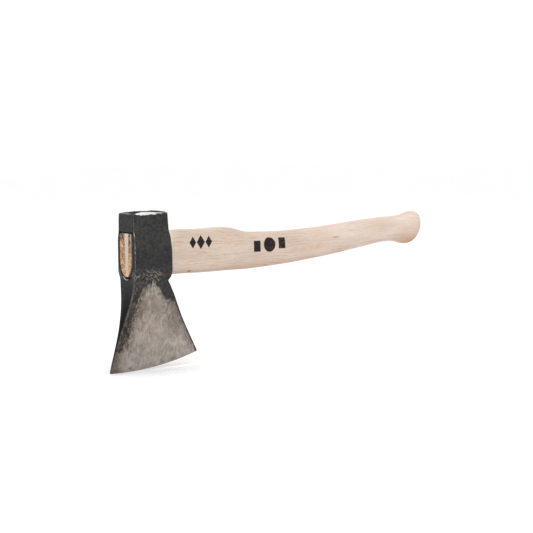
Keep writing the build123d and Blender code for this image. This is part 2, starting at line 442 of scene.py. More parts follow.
# Where the grinding starts on the blade, from the toe side over the arch's top to the heel side (X, Z, mm)
GRIND_ARCH = ((-40, -50), (-36.6, -42), (-34.7, -35.5), (-31.5, -31.5), (-28, -30), (-23.6, -29.5),
              (-22.6, -25.5), (-21.6, -25.8), (-20.9, -29.5), (-20.2, -25.2), (-19.2, -26), (-18, -31),
              (-13.6, -34.5), (-10, -40), (-5.4, -45), (7, -50), (14, -52))
TOE_STRIP = 8.6  # mm of black scale kept along the blade's toe side, down to where it ends softly
TOE_STRIP_END = (-101.0, -95.0)
HEEL_STRIP = 1.1  # mm of it kept along the heel side
SIDE_LEVELS = np.linspace(0.6 * BLADE_ROOT, 0.999 * heel[2], 60)
FAR_INSIDE = 20.0  # mm, where there is no heel side to measure from


def grind_field(points):
    """Millimetres inside the ground part of the blade, negative on the black scale; and from the toe side."""
    x, z = points[:, 0] / MM, points[:, 2] / MM
    below_heel = z < heel[2] / MM
    sides = np.array([head_cad.extent(2, level, 0) for level in SIDE_LEVELS]) / MM
    left, right = [np.interp(-z, -SIDE_LEVELS / MM, column) for column in sides.T]
    low_left = np.interp(-z, (-heel[2] / MM, -toe[2] / MM), (left.min(), toe[0] / MM))
    left = np.where(below_heel, low_left, left)
    arch = np.interp(x, *np.array(GRIND_ARCH).T) - z
    from_toe = x - left - TOE_STRIP * ramp(z, *TOE_STRIP_END)
    from_heel = np.where(below_heel, FAR_INSIDE, right - x - HEEL_STRIP)
    return np.minimum(np.minimum(arch, from_toe), from_heel), x - left


BLOCK_DENTS = {"low": (-HEAD_LENGTH, 17 * MM, -16 * MM), "high": (0, 17 * MM, rim_z), "count": 34,
               "size": (2.5 * MM, 6 * MM), "depth": (0.04 * MM, 0.14 * MM)}
ROOT_DENTS = {"low": (-41 * MM, 15 * MM, -28 * MM), "high": (-4 * MM, 15 * MM, -14 * MM), "count": 30,
              "size": (0.8 * MM, 1.6 * MM), "depth": (0.10 * MM, 0.28 * MM), "stretch": 3.2, "slant": 0.9}
POLL_DENTS = {"low": (-HEAD_LENGTH, -15 * MM, poll_top), "high": (-4 * MM, 15 * MM, poll_top), "count": 40,
              "size": (2.0 * MM, 4.5 * MM), "depth": (0.03 * MM, 0.12 * MM)}
DENT_LEAN = 0.3
FACING = 0.5  # how squarely a point faces the hammer, from 0 to 1, before it can be dented


def dents(points, outward, rng, side, low, high, count, size, depth, stretch=1.0, slant=0.0):
    """Shallow hammer dents at random places in a box, or in its mirror image where side is -1."""
    total = np.zeros(len(points))
    for _ in range(count):
        centre = rng.uniform(np.multiply(low, (1, side, 1)), np.multiply(high, (1, side, 1)))
        radius = rng.uniform(*size)
        lean = slant + rng.uniform(-DENT_LEAN, DENT_LEAN)
        offset = points - centre
        along = offset[:, 0] * cos(lean) + offset[:, 2] * sin(lean)
        across = offset[:, 2] * cos(lean) - offset[:, 0] * sin(lean)
        spread = (along / (radius * stretch)) ** 2 + (across / radius) ** 2
        total -= rng.uniform(*depth) * np.exp(-spread) * (outward > FACING)
    return total


def nearest(known, points):
    """For each point, the index of the nearest known point and its distance."""
    finder = KDTree(len(known))
    for i, p in enumerate(known):
        finder.insert(p, i)
    finder.balance()
    return [finder.find(p)[1:] for p in points]


ARC_POINTS = 300


def to_cutting_edge(points):
    """Distance of each point from the arc of the cutting edge."""
    row = HeadRow(toe[2], heel[2], edge_bow())
    arc = [(x, 0, z) for x, z in (row.place(a) for a in np.linspace(0, row.width, ARC_POINTS))]
    return np.array([distance for _, distance in nearest(arc, points)])


RIDGE_WEAR = 0.86
CROWN_WEAR = 0.35
SAME_PLACE = 0.5 * MM


def worn_edges(points, outer_points, outer_edge, crown):
    """How far the scale is worn off: along the forging's edges and over the poll."""
    wear = [RIDGE_WEAR * outer_edge[k] ** 2 if distance < SAME_PLACE else 0.0
            for k, distance in nearest(outer_points, points)]
    return np.maximum(wear, CROWN_WEAR * crown)


def rust_places(points, on_cheek):
    """Where the scale has turned brown: under the eye block, down the toe side and twice near the poll."""
    x, y, z = (points / MM).T
    junction = np.exp(-((z + 21) / 2.0) ** 2) * ramp(x, -28, -20) * on_cheek
    toe_side = 0.62 * ramp(-z, 34, 50) * ramp(-z, 130, 100) * on_cheek
    end_spot = 0.9 * np.exp(-((y + 8) ** 2 + (z - 35) ** 2) / 16) * (x < -43.5)
    corner = 0.9 * np.exp(-((x + 6) ** 2 + (z - 43) ** 2) / 14)
    return np.clip(junction + toe_side + end_spot + corner, 0, 1)


HEAD_SEED = 41
SCALE_LUMPS = ((0.10, 9 * MM, 1), (0.05, 3 * MM, 2))  # height in mm, size, seed
EYE_CALM = 0.2  # share of that unevenness inside the eye
# Poll corners knocked round: place along the head and across it, how deep, how far it reaches
WORN_CORNERS = ((-HEAD_LENGTH, 17.5 * MM, 1.3 * MM, 3.0 * MM), (-4 * MM, -17.5 * MM, 0.5 * MM, 2.2 * MM))
EYE_HALF = 12.6 * MM
EYE_LOW, EYE_HIGH = -25.5 * MM, 24.0 * MM
GRIND_STEP = (-0.5, 1.0)  # mm inside the grinding's border, between which the surface steps down
GRIND_DEPTH = 0.12 * MM
GRIND_LUMPS = (0.10 * MM, 11 * MM, 3)  # height, size, seed, and how they are squeezed
GRIND_SQUEEZE = (1, 1, 0.5)
EDGE_CALM = (12 * MM, 3 * MM)  # heights above the toe's corner between which grinding and lumps fade out
RIM_LUMPS = (0.16 * MM, 5 * MM, 4)
RIM_FADE = (0.6 * MM, 1.4 * MM)  # heights above the crown's foot between which these fade out
CHEEK_OUT = 5 * MM  # a point further from the middle plane than this is on one of the two sides
CHEEK_NORMAL, WALL_NORMAL, FLANK_NORMAL = 0.4, 0.3, -0.7  # which way a face looks, from -1 to 1
OFF_CHEEK = 99.0


def eye_wall(points, normal):
    """True for the points on the eye's inside."""
    x, y, z = points.T
    in_outline = (np.abs(y) < EYE_HALF) & (z > EYE_LOW) & (z < EYE_HIGH)
    return (np.abs(normal[:, 0]) < WALL_NORMAL) & (x > -HEAD_LENGTH) & (x < 0) & in_outline


def head_shape(points, normal, ground, in_eye, crown):
    """How far each point stands out or in: forging lumps, hammer dents, the grinding and knocked corners."""
    rng = np.random.default_rng(HEAD_SEED)
    scale = (1 - ground) * np.where(in_eye, EYE_CALM, 1.0)
    off_edge = 1 - ramp(-points[:, 2], *[-toe[2] - above for above in EDGE_CALM])
    shape = scale * sum(height * lumps(points, size, seed) for height, size, seed in SCALE_LUMPS) * MM
    height, *pattern = GRIND_LUMPS
    shape += ground * height * lumps(points * GRIND_SQUEEZE, *pattern) * off_edge
    shape -= ground * GRIND_DEPTH * off_edge
    for side in (-1, 1):
        on_side = np.where(points[:, 1] * side > CHEEK_OUT, normal[:, 1] * side, 0)
        for kind in (BLOCK_DENTS, ROOT_DENTS):
            shape += scale * dents(points, on_side, rng, side, **kind)
    shape += crown * dents(points, normal[:, 2], rng, 1, **POLL_DENTS)
    rim = crown * (1 - ramp(points[:, 2], *[rim_z + above for above in RIM_FADE]))
    height, *pattern = RIM_LUMPS
    shape += rim * height * lumps(points, *pattern)
    for corner_x, corner_y, worn_off, reach in WORN_CORNERS:
        distance = np.linalg.norm(points - (corner_x, corner_y, rim_z), axis=1)
        shape -= worn_off * np.exp(-(distance / reach) ** 2)
    return shape


def finish_head(head, outer_points, outer_edge):
    """The forged surface, and the numbers the steel's material reads."""
    points, normal = vectors(head, "co"), vectors(head, "normal")
    grind, from_toe = grind_field(points)
    in_eye = eye_wall(points, normal)
    on_cheek = np.abs(normal[:, 1]) > CHEEK_NORMAL
    crown = ramp(points[:, 2], rim_z - MM, rim_z + MM)
    move(head, head_shape(points, normal, ramp(grind, *GRIND_STEP), in_eye, crown))
    store(head, "grind", grind)
    store(head, "lip", to_cutting_edge(points) / MM)
    store(head, "wear", worn_edges(points, outer_points, outer_edge, crown))
    store(head, "rust", rust_places(points, on_cheek))
    # Points inside the eye, which the steel's material paints black as shadow.
    store(head, "bore", in_eye)
    # The -X faces; low on the blade the steel's material gives them painted shade.
    store(head, "flank", normal[:, 0] < FLANK_NORMAL)
    store(head, "side", np.where(on_cheek, from_toe, OFF_CHEEK))
    head.data.set_sharp_from_angle(angle=SHARP_STEEL)


# -------- haft

haft_cad = CadSurface("haft")
haft_low, haft_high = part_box("haft")
HAFT_ANGLES = 168
HAFT_STEP = 1.5 * MM
SHOULDER = 2.4 * MM  # the CAD haft's full section starts just before this
SHOULDER_START = 0.15 * MM  # the shoulder closes up to this distance from the head
# The rings of the shoulder's small round: distance from the head, and how far inside the full section
SHOULDER_RINGS = ((SHOULDER_START, 0.9 * MM), (SHOULDER_START + 0.1 * MM, 0.4 * MM), (0.6 * MM, 0.12 * MM),
                  (1.3 * MM, 0.02 * MM))
SEAT_BEND = -10.0 * MM
KNOB_POLE = 18.0 * MM  # the knob's end is swept round a point this far inside it
KNOB_LEANS = np.linspace(0, pi / 2, 26)[1:-1]
TONGUE_GAP = 0.1 * MM
TONGUE_END_GAPS = (0.8 * MM, 0.9 * MM, 1.8 * MM)  # sides, top and bottom
TONGUE_ROWS = 32
TONGUE_STEPS = 60
RIM_INNER = (0.985, 0.02 * MM)  # the eased rim's inner ring: share of the outline, and how far back
RIM_OUTER = 0.25 * MM
TONGUE_FIRST = 1.2 * MM
END_SHARES = (0.04, 0.16, 0.28, 0.40, 0.52, 0.64, 0.76, 0.87, 0.95)  # rings on the end grain
OUTLINE_SHARES = (0, 0.02, 0.05, 0.1, 0.2, 0.3, 0.4, 0.5, 0.6, 0.7, 0.8, 0.9, 0.95, 0.98)
PROBE_OUT = 60.0 * MM
angles = np.linspace(0, 2 * pi, HAFT_ANGLES, endpoint=False)


def haft_radius(centre, direction):
    """Distance from a point inside the haft to its surface, measured from outside."""
    start = centre + direction * PROBE_OUT
    reach = haft_cad.reach(start, -direction)
    return PROBE_OUT - reach if reach else 0.0


def seat_x(z):
    """Where the head's end face is at height z, on the haft's side."""
    return min(head_cad.extent(2, z, 0)[1], 0.0) if z > SEAT_BEND else 0.0


def haft_middle(x):
    low, high = haft_cad.extent(0, x, 2)
    return Vector((x, 0, (low + high) / 2))


def radial(angle, lean=0.0):
    """A direction square to the haft, or leaning towards its butt."""
    return Vector((sin(lean), cos(lean) * cos(angle), cos(lean) * sin(angle)))


def body_rows():
    """Rows of points along the haft from its full section to the knob, and the knob's pole."""
    pole_x = haft_high.x - KNOB_POLE
    body = np.linspace(SHOULDER, pole_x, round((pole_x - SHOULDER) / HAFT_STEP))
    sections = [(haft_middle(x), 0.0) for x in body]
    pole = sections[-1][0]
    sections += [(pole, lean) for lean in KNOB_LEANS]
    radii = np.array([[haft_radius(centre, radial(a, lean)) for a in angles] for centre, lean in sections])
    rows = []
    for (centre, lean), row in zip(sections, smooth_rows(radii, 2)):
        rows.append([centre + radial(a, lean) * r for a, r in zip(angles, row)])
    return rows, pole + Vector((haft_radius(pole, Vector((1, 0, 0))), 0, 0))


def tongue_at(x):
    """The tongue's half width, top and bottom at x: the eye's, less the gaps."""
    half, top, bottom = eye_at(x)
    share = -x / HEAD_LENGTH
    gaps = [TONGUE_GAP + share * (gap - TONGUE_GAP) for gap in TONGUE_END_GAPS]
    return half - gaps[0], top - gaps[1], bottom + gaps[2]


def tongue_row(x):
    """The tongue's outline at x, one point for each angle."""
    corners = np.array(bullet_outline(*tongue_at(x), TONGUE_STEPS))
    following = np.roll(corners, -1, 0)
    outline = np.vstack([corners + (following - corners) * share for share in OUTLINE_SHARES])
    turn = np.arctan2(outline[:, 1], outline[:, 0])
    reach = np.hypot(outline[:, 0], outline[:, 1])
    order = np.argsort(turn)
    turn, reach = turn[order], reach[order]
    wanted = (angles - turn[0]) % (2 * pi) + turn[0]
    radii = np.interp(wanted, np.append(turn, turn[0] + 2 * pi), np.append(reach, reach[0]))
    return [Vector((x, r * cos(a), r * sin(a))) for a, r in zip(angles, radii)]


def tongue_rows(end_middle):
    """Rings closing towards the middle of the end grain, its eased rim, and the tongue up to the shoulder."""
    end_row = tongue_row(end_middle.x)
    rows = [[end_middle.lerp(p, share) for p in end_row] for share in END_SHARES]
    share, back = RIM_INNER
    rows.append([end_middle.lerp(p, share) + Vector((back, 0, 0)) for p in end_row])
    rows.append([p + Vector((RIM_OUTER, 0, 0)) for p in end_row])
    stations = np.linspace(end_middle.x + TONGUE_FIRST, SHOULDER_START, TONGUE_ROWS)
    return rows + [tongue_row(x) for x in stations]


def shoulder_rows(full_section):
    """A flat ring against the head, then a small round."""
    middle = Vector((SHOULDER, 0, 0))
    seats = [seat_x(p.z) for p in full_section]
    rows = []
    for x, inset in SHOULDER_RINGS:
        closing = (SHOULDER - x) / (SHOULDER - SHOULDER_START)
        ring = []
        for p, seat in zip(full_section, seats):
            q = p - (p - middle).normalized() * inset
            ring.append(Vector((x + seat * closing, q.y, q.z)))
        rows.append(ring)
    return rows


def build_haft(material):
    body, tip = body_rows()
    end_middle = Vector((haft_low.x, 0, 0))
    rows = tongue_rows(end_middle) + shoulder_rows(body[0]) + body
    faces = tube_faces(len(rows), HAFT_ANGLES)
    points = [p for row in rows for p in row] + [end_middle, tip]
    last = (len(rows) - 1) * HAFT_ANGLES
    for i in range(HAFT_ANGLES):
        k = (i + 1) % HAFT_ANGLES
        faces.append((len(points) - 2, k, i))
        faces.append((len(points) - 1, last + i, last + k))
    haft = new_piece("beech_haft", points, faces, material, "haft")
    face_outwards(haft.data)
    return haft


HAFT_LUMPS = ((0.16, 0.35, 9 * MM, 5), (0.03, 0.4, 3 * MM, 6))  # height in mm, squeeze along X, size, seed
END_LUMPS = (0.12 * MM, 2.5 * MM, 7)  # height, size, seed
SHAVED_FROM = (0.5 * MM, 6 * MM)  # along X: none of the shaving's unevenness, all of it
END_DEPTHS = (0.2 * MM, 0.5 * MM)  # how far out of the head the end grain begins and is all there
END_FACING = 0.5  # how squarely a point faces along the haft, from 0 to 1, before it is on an end
UNDER_FACING = (0.15, 0.85)  # the same downwards, for the painted shade on the underside


def finish_haft(haft):
    """The slight unevenness of a shaved and sanded haft, and the numbers its wood reads."""
    points, normal = vectors(haft, "co"), vectors(haft, "normal")
    outside = ramp(points[:, 0], *SHAVED_FROM)
    shaved = 0.0
    for height, squeeze, size, seed in HAFT_LUMPS:
        shaved += height * lumps(points * (squeeze, 1, 1), size, seed)
    end = ramp(-points[:, 0], *[HEAD_LENGTH + depth for depth in END_DEPTHS])
    end *= np.abs(normal[:, 0]) > END_FACING
    height, *pattern = END_LUMPS
    move(haft, outside * shaved * MM + end * height * lumps(points, *pattern))
    store(haft, "end", end)
    # How squarely a point faces down, which the wood's material uses for painted shade.
    store(haft, "under", ramp(-normal[:, 2], *UNDER_FACING) * outside)
    haft.data.set_sharp_from_angle(angle=SHARP_WOOD)


# -------- wedge and its slot

WEDGE_CUTS = 43
WEDGE_GAP = 0.08 * MM
wedge_low, wedge_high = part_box("eye_wedge")
WEDGE_BEVEL = 0.25 * MM
WEDGE_SANDED = 0.03 * MM
WEDGE_LUMPS = (0.10, 1.8 * MM, 8)  # on its struck end: height in mm, size, seed
WEDGE_MIDDLE = (wedge_low.y + wedge_high.y) / 2
WEDGE_TOP_HALF = (wedge_high.y - wedge_low.y) / 2
WEDGE_FOOT_HALF = 2.1 * MM
TIP_SHARE = 0.3  # the wedge's tip is this share of its thickness at the mouth
SPLIT_GAP = 1.1 * MM  # an open crack beside the wedge, near the poll
SPLIT_FOOT = -2.0 * MM
SPLIT_WHOLE = SPLIT_FOOT + 6 * MM  # from here up the crack has its full width
# The slot's heights, past the wedge above and below; and its places along X, with the crack's share there
SLOT_LEVELS = (wedge_low.z - 4 * MM, SPLIT_FOOT, SPLIT_FOOT + 4 * MM, 12 * MM, wedge_high.z + 4 * MM)
SLOT_STATIONS = ((wedge_low.x - 2 * MM, 1.0), (8 * MM - HEAD_LENGTH, 0.3), (wedge_high.x + 6 * MM, 0.0))


def wedge_half(x, z):
    """The wedge's half thickness at a place."""
    height = (z - wedge_low.z) / (wedge_high.z - wedge_low.z)
    mouth = WEDGE_FOOT_HALF + height * (WEDGE_TOP_HALF - WEDGE_FOOT_HALF)
    share = (x - wedge_low.x) / (wedge_high.x - wedge_low.x)
    return mouth * (1 - share * (1 - TIP_SHARE))


def cut_saw_slot(haft):
    """The slot for the wedge, open on the near side of the wedge where the tongue has split away."""
    rows = []
    for x, open_share in SLOT_STATIONS:
        near, far = [], []
        for z in SLOT_LEVELS:
            half = wedge_half(min(max(x, wedge_low.x), wedge_high.x), z) + WEDGE_GAP
            crack = SPLIT_GAP * open_share * ramp(z, SPLIT_FOOT, SPLIT_WHOLE)
            near.append((x, WEDGE_MIDDLE - half - float(crack), z))
            far.append((x, WEDGE_MIDDLE + half, z))
        rows.append(near + far[::-1])
    cut(haft, rows)


def build_wedge(material):
    """The wedge, a fine grid on each face, its struck end a little crushed."""
    bm = bmesh.new()
    bmesh.ops.create_cube(bm, size=2)
    bmesh.ops.subdivide_edges(bm, edges=bm.edges[:], cuts=WEDGE_CUTS, use_grid_fill=True)
    _, mouth_top, mouth_bottom = tongue_at(wedge_low.x)
    points = []
    for v in bm.verts:
        share_x, share_z = (v.co.x + 1) / 2, (v.co.z + 1) / 2
        x = wedge_low.x + share_x * (wedge_high.x - wedge_low.x)
        _, top, bottom = tongue_at(x)
        low = bottom + wedge_low.z - mouth_bottom
        high = top + wedge_high.z - mouth_top
        z = low + share_z * (high - low)
        points.append((x, WEDGE_MIDDLE + v.co.y * wedge_half(x, z), z))
    faces = [[v.index for v in f.verts] for f in bm.faces]
    bm.free()
    wedge = new_piece("driven_wedge", points, faces, material, "eye_wedge")
    bevel = wedge.modifiers.new("worn", "BEVEL")
    bevel.width = WEDGE_BEVEL
    bevel.segments = 2
    bevel.limit_method = "ANGLE"
    apply_modifiers(wedge)
    points, normal = vectors(wedge, "co"), vectors(wedge, "normal")
    end = ramp(-points[:, 0], HEAD_LENGTH, HEAD_LENGTH + 0.5 * MM)
    height, *pattern = WEDGE_LUMPS
    crushed = end * height * MM * lumps(points, *pattern) * (np.abs(normal[:, 0]) > END_FACING)
    move(wedge, crushed - WEDGE_SANDED)
    wedge.data.set_sharp_from_angle(angle=SHARP_WOOD)


# -------- materials

class Recipe:
    """A node material in the making. Every step takes sockets or plain values and gives a socket."""

    def __init__(self, name):
        self.material = bpy.data.materials.new(name)
        self.material.use_nodes = True
        self.nodes = self.material.node_tree.nodes
        self.shader = self.nodes["Principled BSDF"]
        self.place = self.add("ShaderNodeTexCoord").outputs["Object"]
        parts = self.add("ShaderNodeSeparateXYZ", {0: self.place}).outputs
        self.x, self.y, self.z = [self.calc("DIVIDE", part, MM) for part in parts]  # millimetres
        self.out = self.calc("ABSOLUTE", self.y)

    def add(self, kind, inputs=(), **settings):
        node = self.nodes.new(kind)
        for name, value in settings.items():
            setattr(node, name, value)
        for key, value in dict(inputs).items():
            self.put(node.inputs[key], value)
        return node

    def put(self, socket, value):
        if isinstance(value, bpy.types.NodeSocket):
            self.material.node_tree.links.new(value, socket)
        else:
            socket.default_value = value

    def calc(self, operation, *values):
        return self.add("ShaderNodeMath", enumerate(values), operation=operation).outputs[0]

    def chain(self, operation, values):
        result = values[0]
        for value in values[1:]:
            result = self.calc(operation, result, value)
        return result

    def total(self, *values):
        return self.chain("ADD", values)

    def product(self, *values):
        return self.chain("MULTIPLY", values)

    def most(self, *values):
        return self.chain("MAXIMUM", values)

    def less(self, value, taken):
        return self.calc("SUBTRACT", value, taken)

    def squares(self, first, second, weights=(1.0, 1.0)):
        return self.total(self.product(first, first, weights[0]), self.product(second, second, weights[1]))

    def attribute(self, name):
        return self.add("ShaderNodeAttribute", attribute_name=name).outputs["Fac"]

    def noise(self, size, stretch=(1, 1, 1), detail=3.0, seed=0.0, rough=0.5, turn=0.0):
        """Cloudy noise round 0.5 in lumps of about size millimetres, longer along a stretched axis.

        turn leans the pattern in the X-Z plane."""
        scale = [1 / (size * MM * s) for s in stretch]
        place = self.place
        if turn:
            place = self.add("ShaderNodeVectorRotate", {"Vector": place, "Angle": turn},
                             rotation_type="Y_AXIS").outputs[0]
        placed = self.add("ShaderNodeVectorMath", {0: place, 1: scale, 2: (seed, seed * 1.7, seed * 2.3)},
                          operation="MULTIPLY_ADD").outputs[0]
        inputs = {"Vector": placed, "Scale": 1.0, "Detail": detail, "Roughness": rough}
        return self.add("ShaderNodeTexNoise", inputs).outputs[0]

    def wobble(self, amount, *pattern, **options):
        """Noise between about -amount and +amount."""
        return self.product(self.less(self.noise(*pattern, **options), 0.5), 2 * amount)

    def spots(self, low, high, *pattern, **options):
        """Soft-edged spots: noise stepped from low to high."""
        return self.step(self.noise(*pattern, **options), low, high)

    def step(self, value, low, high):
        """0 at low and 1 at high, smooth between; low may be the bigger one."""
        inputs = {"Value": value, "From Min": low, "From Max": high}
        return self.add("ShaderNodeMapRange", inputs, interpolation_type="SMOOTHSTEP").outputs[0]

    def within(self, value, low, high, soft):
        """1 between low and high, falling off softly outside."""
        falling = self.step(value, high + soft, high - soft)
        return self.product(self.step(value, low - soft, low + soft), falling)

    def span(self, value, low, high):
        """A number from 0 to 1 stretched to run from low to high."""
        return self.calc("MULTIPLY_ADD", value, high - low, low)

    def mix(self, factor, first, second):
        node = self.add("ShaderNodeMix", {0: factor, 6: first, 7: second}, data_type="RGBA")
        return node.outputs[2]

    def blend(self, factor, first, second):
        return self.add("ShaderNodeMix", {0: factor, 2: first, 3: second}, data_type="FLOAT").outputs[0]

    def finish(self, colour, roughness, metallic, height, specular=0.5):
        """Height is in millimetres."""
        bump = self.add("ShaderNodeBump", {"Strength": 1.0, "Distance": MM, "Height": height})
        looks = {"Base Color": colour, "Roughness": roughness, "Metallic": metallic,
                 "Specular IOR Level": specular, "Normal": bump.outputs[0]}
        for name, value in looks.items():
            self.put(self.shader.inputs[name], value)
        return self.material


class Coat:
    """A colour built up in layers."""

    def __init__(self, recipe, colour):
        self.recipe = recipe
        self.colour = colour

    def over(self, tint, *cover):
        """Lays a tint over the colours so far, as strongly as the product of the covers says."""
        self.colour = self.recipe.mix(self.recipe.product(*cover), self.colour, tint)


def shade(red, green, blue):
    """A colour given as 0-255 screen values, as the renderer needs it."""
    values = [c / 255 for c in (red, green, blue)]
    return (*[c / 12.92 if c <= 0.04045 else ((c + 0.055) / 1.055) ** 2.4 for c in values], 1.0)


# -------- forged steel

GROUND_CLEAN = shade(156, 147, 140)
GROUND_DULL = shade(134, 126, 118)
GROUND_LIGHT = shade(180, 172, 164)
GROUND_DARK = shade(92, 84, 77)
GROUND_WARM = shade(140, 121, 108)
GROUND_GREEN = shade(153, 149, 139)
GROUND_PATCH = shade(84, 75, 66)
LIP_DARK = shade(70, 66, 62)
SCALE_MAIN = shade(60, 60, 59)
SCALE_DARK = shade(38, 39, 39)
SCALE_LIGHT = shade(92, 93, 90)
SCALE_WORN = shade(112, 112, 107)
SCALE_BROWN = shade(62, 45, 42)
SCALE_THIN = shade(98, 90, 84)
STROKE_LIGHT = shade(138, 138, 132)
STROKE_BROWN = shade(106, 101, 94)
RIDGE_LIGHT = shade(168, 169, 166)
POLL_BRIGHT = shade(216, 217, 215)
POLL_DULL = shade(180, 168, 159)
POLL_BROWN = shade(122, 100, 90)
RUST = shade(84, 60, 50)
BLACK = shade(12, 12, 13)


def ground_coat(r, clouds, streaks):
    """Ground steel: soft clouds, a fine cross-grain, greener and warmer places, and darker corners."""
    broad = r.spots(0.34, 0.60, 30, (1.3, 1, 1), detail=2, seed=2)
    higher = r.total(broad, r.product(r.step(r.z, -66, -38), -1.0), 0.1,
                     r.product(r.step(r.x, -8, 10), r.step(r.z, -88, -62), -0.9))
    coat = Coat(r, r.mix(r.step(higher, 0.0, 1.0), GROUND_DULL, GROUND_CLEAN))
    coat.over(GROUND_LIGHT, r.step(clouds, 0.50, 0.64), 0.75)
    coat.over(GROUND_DARK, r.step(clouds, 0.48, 0.36), 0.60)
    greenish = r.spots(0.46, 0.60, 7.0, (1, 1, 1.3), detail=5, seed=45, rough=0.6)
    coat.over(GROUND_GREEN, greenish, r.step(r.z, -44, -62), 0.50)
    coat.over(GROUND_DARK, r.step(streaks, 0.48, 0.34), 0.40)
    coat.over(GROUND_LIGHT, r.step(streaks, 0.52, 0.66), 0.60)
    coat.over(GROUND_WARM, r.spots(0.48, 0.68, 10, detail=4, seed=11), r.step(r.z, -100, -78), 0.40)
    coat.over(GROUND_DARK, r.step(r.x, -14, 4), r.step(r.z, -94, -76), 0.24)
    coat.over(GROUND_DARK, r.step(r.x, -44, -62), r.step(r.z, -92, -100), 0.75)
    return coat


def ground_area(r, coat, low_corner):
    """Where the steel is bare: a ragged border, islands of scale in its low places, and a scrape above it."""
    grind, side = r.attribute("grind"), r.attribute("side")
    toe_half = r.product(r.step(side, 27, 9), r.step(r.z, -32, -38), r.step(r.z, -104, -92))
    cleaner = r.span(r.product(r.step(r.z, -46, -56), r.step(r.x, -10, 0)), 1.0, 0.55)
    ragged = r.total(grind,
                     r.product(cleaner, r.wobble(6.5, 4.0, (1, 1, 1.4), detail=6, seed=23, rough=0.68)),
                     r.product(toe_half, r.wobble(10.0, 4.5, (1, 1, 1.8), detail=6, seed=41, rough=0.74)),
                     r.wobble(2.6, 1.3, (1, 1, 2.0), detail=3, seed=25))
    near_border = r.product(r.step(grind, 11, 1), cleaner)
    islands = r.spots(0.48, 0.60, 2.6, (1, 1, 1.6), detail=6, seed=29, rough=0.70)
    coat.over(GROUND_DARK, near_border, 0.30)
    patches = r.spots(0.48, 0.60, 3.4, (1, 1, 1.6), detail=6, seed=39, rough=0.72)
    coat.over(GROUND_PATCH, toe_half, patches, 0.80)
    coat.over(GROUND_WARM, toe_half, 0.20)
    scrape = r.total(r.squares(r.total(r.x, 20.0), r.total(r.z, 22.4), (0.20, 0.45)),
                     r.wobble(1.6, 1.6, detail=3, seed=34))
    ground = r.product(r.step(ragged, -0.5, 2.2), r.less(1.0, r.product(near_border, islands, 0.75)))
    return r.most(ground, r.product(r.step(scrape, 1.0, 0.3), low_corner, 0.7))


def beaten_strokes(r):
    """Short strokes that lean one way near the toe side and the other way beyond it."""
    left = r.product(r.noise(1.1, (1, 1, 8), detail=3, seed=18, turn=-0.75), r.step(r.x, -30, -34))
    right = r.product(r.noise(1.1, (1, 1, 8), detail=3, seed=20, turn=0.95), r.step(r.x, -34, -30))
    return r.total(left, right)


def scale_coat(r, mottle, grit, strokes, low_corner):
    """Forging scale: mottled, flecked, beaten under the eye block, brown in places, with painted shade on the
    flanks.
    """
    coat = Coat(r, r.mix(r.step(mottle, 0.38, 0.62), SCALE_DARK, SCALE_MAIN))
    coat.over(SCALE_LIGHT, r.step(grit, 0.55, 0.78), 0.55)
    coat.over(SCALE_DARK, r.within(r.z, -13, 6, 5), 0.30)
    fading = r.span(r.spots(0.34, 0.52, 5, detail=2, seed=22), 0.4, 1.0)
    stroke_colour = r.mix(r.step(mottle, 0.42, 0.58), STROKE_BROWN, STROKE_LIGHT)
    coat.over(stroke_colour, r.step(strokes, 0.50, 0.64), low_corner, fading, r.step(r.x, -5, -14))
    coat.over(SCALE_DARK, r.step(strokes, 0.46, 0.34), low_corner, 0.6)
    rusty = r.total(r.attribute("rust"), r.wobble(0.9, 3.0, detail=5, seed=19, rough=0.62))
    coat.over(RUST, r.step(rusty, 0.45, 1.20), 0.75)
    # Painted shade: the blade's -X flank is darkened towards the bottom and the near side, where less light
    # falls.
    flank = r.attribute("flank")
    coat.over(SCALE_DARK, flank, r.step(r.z, -22, -30), 0.4)
    coat.over(BLACK, flank, r.step(r.z, -20, -62), r.span(r.step(r.y, 9, -2), 0.3, 1.0))
    return coat


def thin_the_strip(r, coat):
    """The strip of scale beside the toe side's ridge: greyer, browner, and worn along the ridge."""
    side = r.attribute("side")
    thin = r.product(r.step(r.z, -24, -32), r.step(side, 12, 6), r.step(side, -0.5, 0.5))
    tone = r.noise(2.4, (1, 1, 1.8), detail=5, seed=27, rough=0.68)
    brown_spots = r.spots(0.49, 0.57, 3.6, (1, 1, 1.6), detail=4, seed=46, rough=0.66)
    coat.over(SCALE_BROWN, thin, brown_spots, 0.75)
    coat.over(SCALE_THIN, thin, r.step(tone, 0.51, 0.60), 0.75)
    coat.over(SCALE_DARK, thin, r.step(tone, 0.48, 0.41), 0.80)
    ridge_line = r.total(side, r.wobble(2.4, 3.0, (1, 1, 2), detail=5, seed=30, rough=0.65))
    lower = r.span(r.step(r.z, -80, -50), 0.35, 1.0)
    coat.over(SCALE_WORN, r.within(ridge_line, 0.4, 2.2, 1.0), r.step(r.z, -24, -30), lower, 0.30)


def poll_bright(r):
    """Bare metal on the poll's side slopes, at a corner and along the end's rim; and the corner alone."""
    wave = r.total(r.z, r.wobble(2.6, 6.0, (1, 3, 3), detail=3, seed=36))
    slope_top = r.most(r.calc("MULTIPLY_ADD", r.x, 0.192, 14.0), r.calc("MULTIPLY_ADD", r.x, -0.5, -7.4))
    down_slope = r.less(r.out, slope_top)
    hammered = r.product(r.step(wave, 41.1, 41.6), r.step(down_slope, 0.2, 1.2), r.step(r.x, -43, -41),
                         r.step(r.x, -10.5, -12.0))
    corner = r.product(r.step(wave, 41.9, 42.5), r.step(down_slope, -1.0, 0.5), r.within(r.x, -12, -5, 0.8))
    end_rim = r.product(r.within(wave, 41.8, 42.6, 0.25), r.step(r.x, -42.8, -44.2), r.step(r.y, -13, -4))
    return r.most(hammered, corner, r.product(end_rim, 0.5)), corner


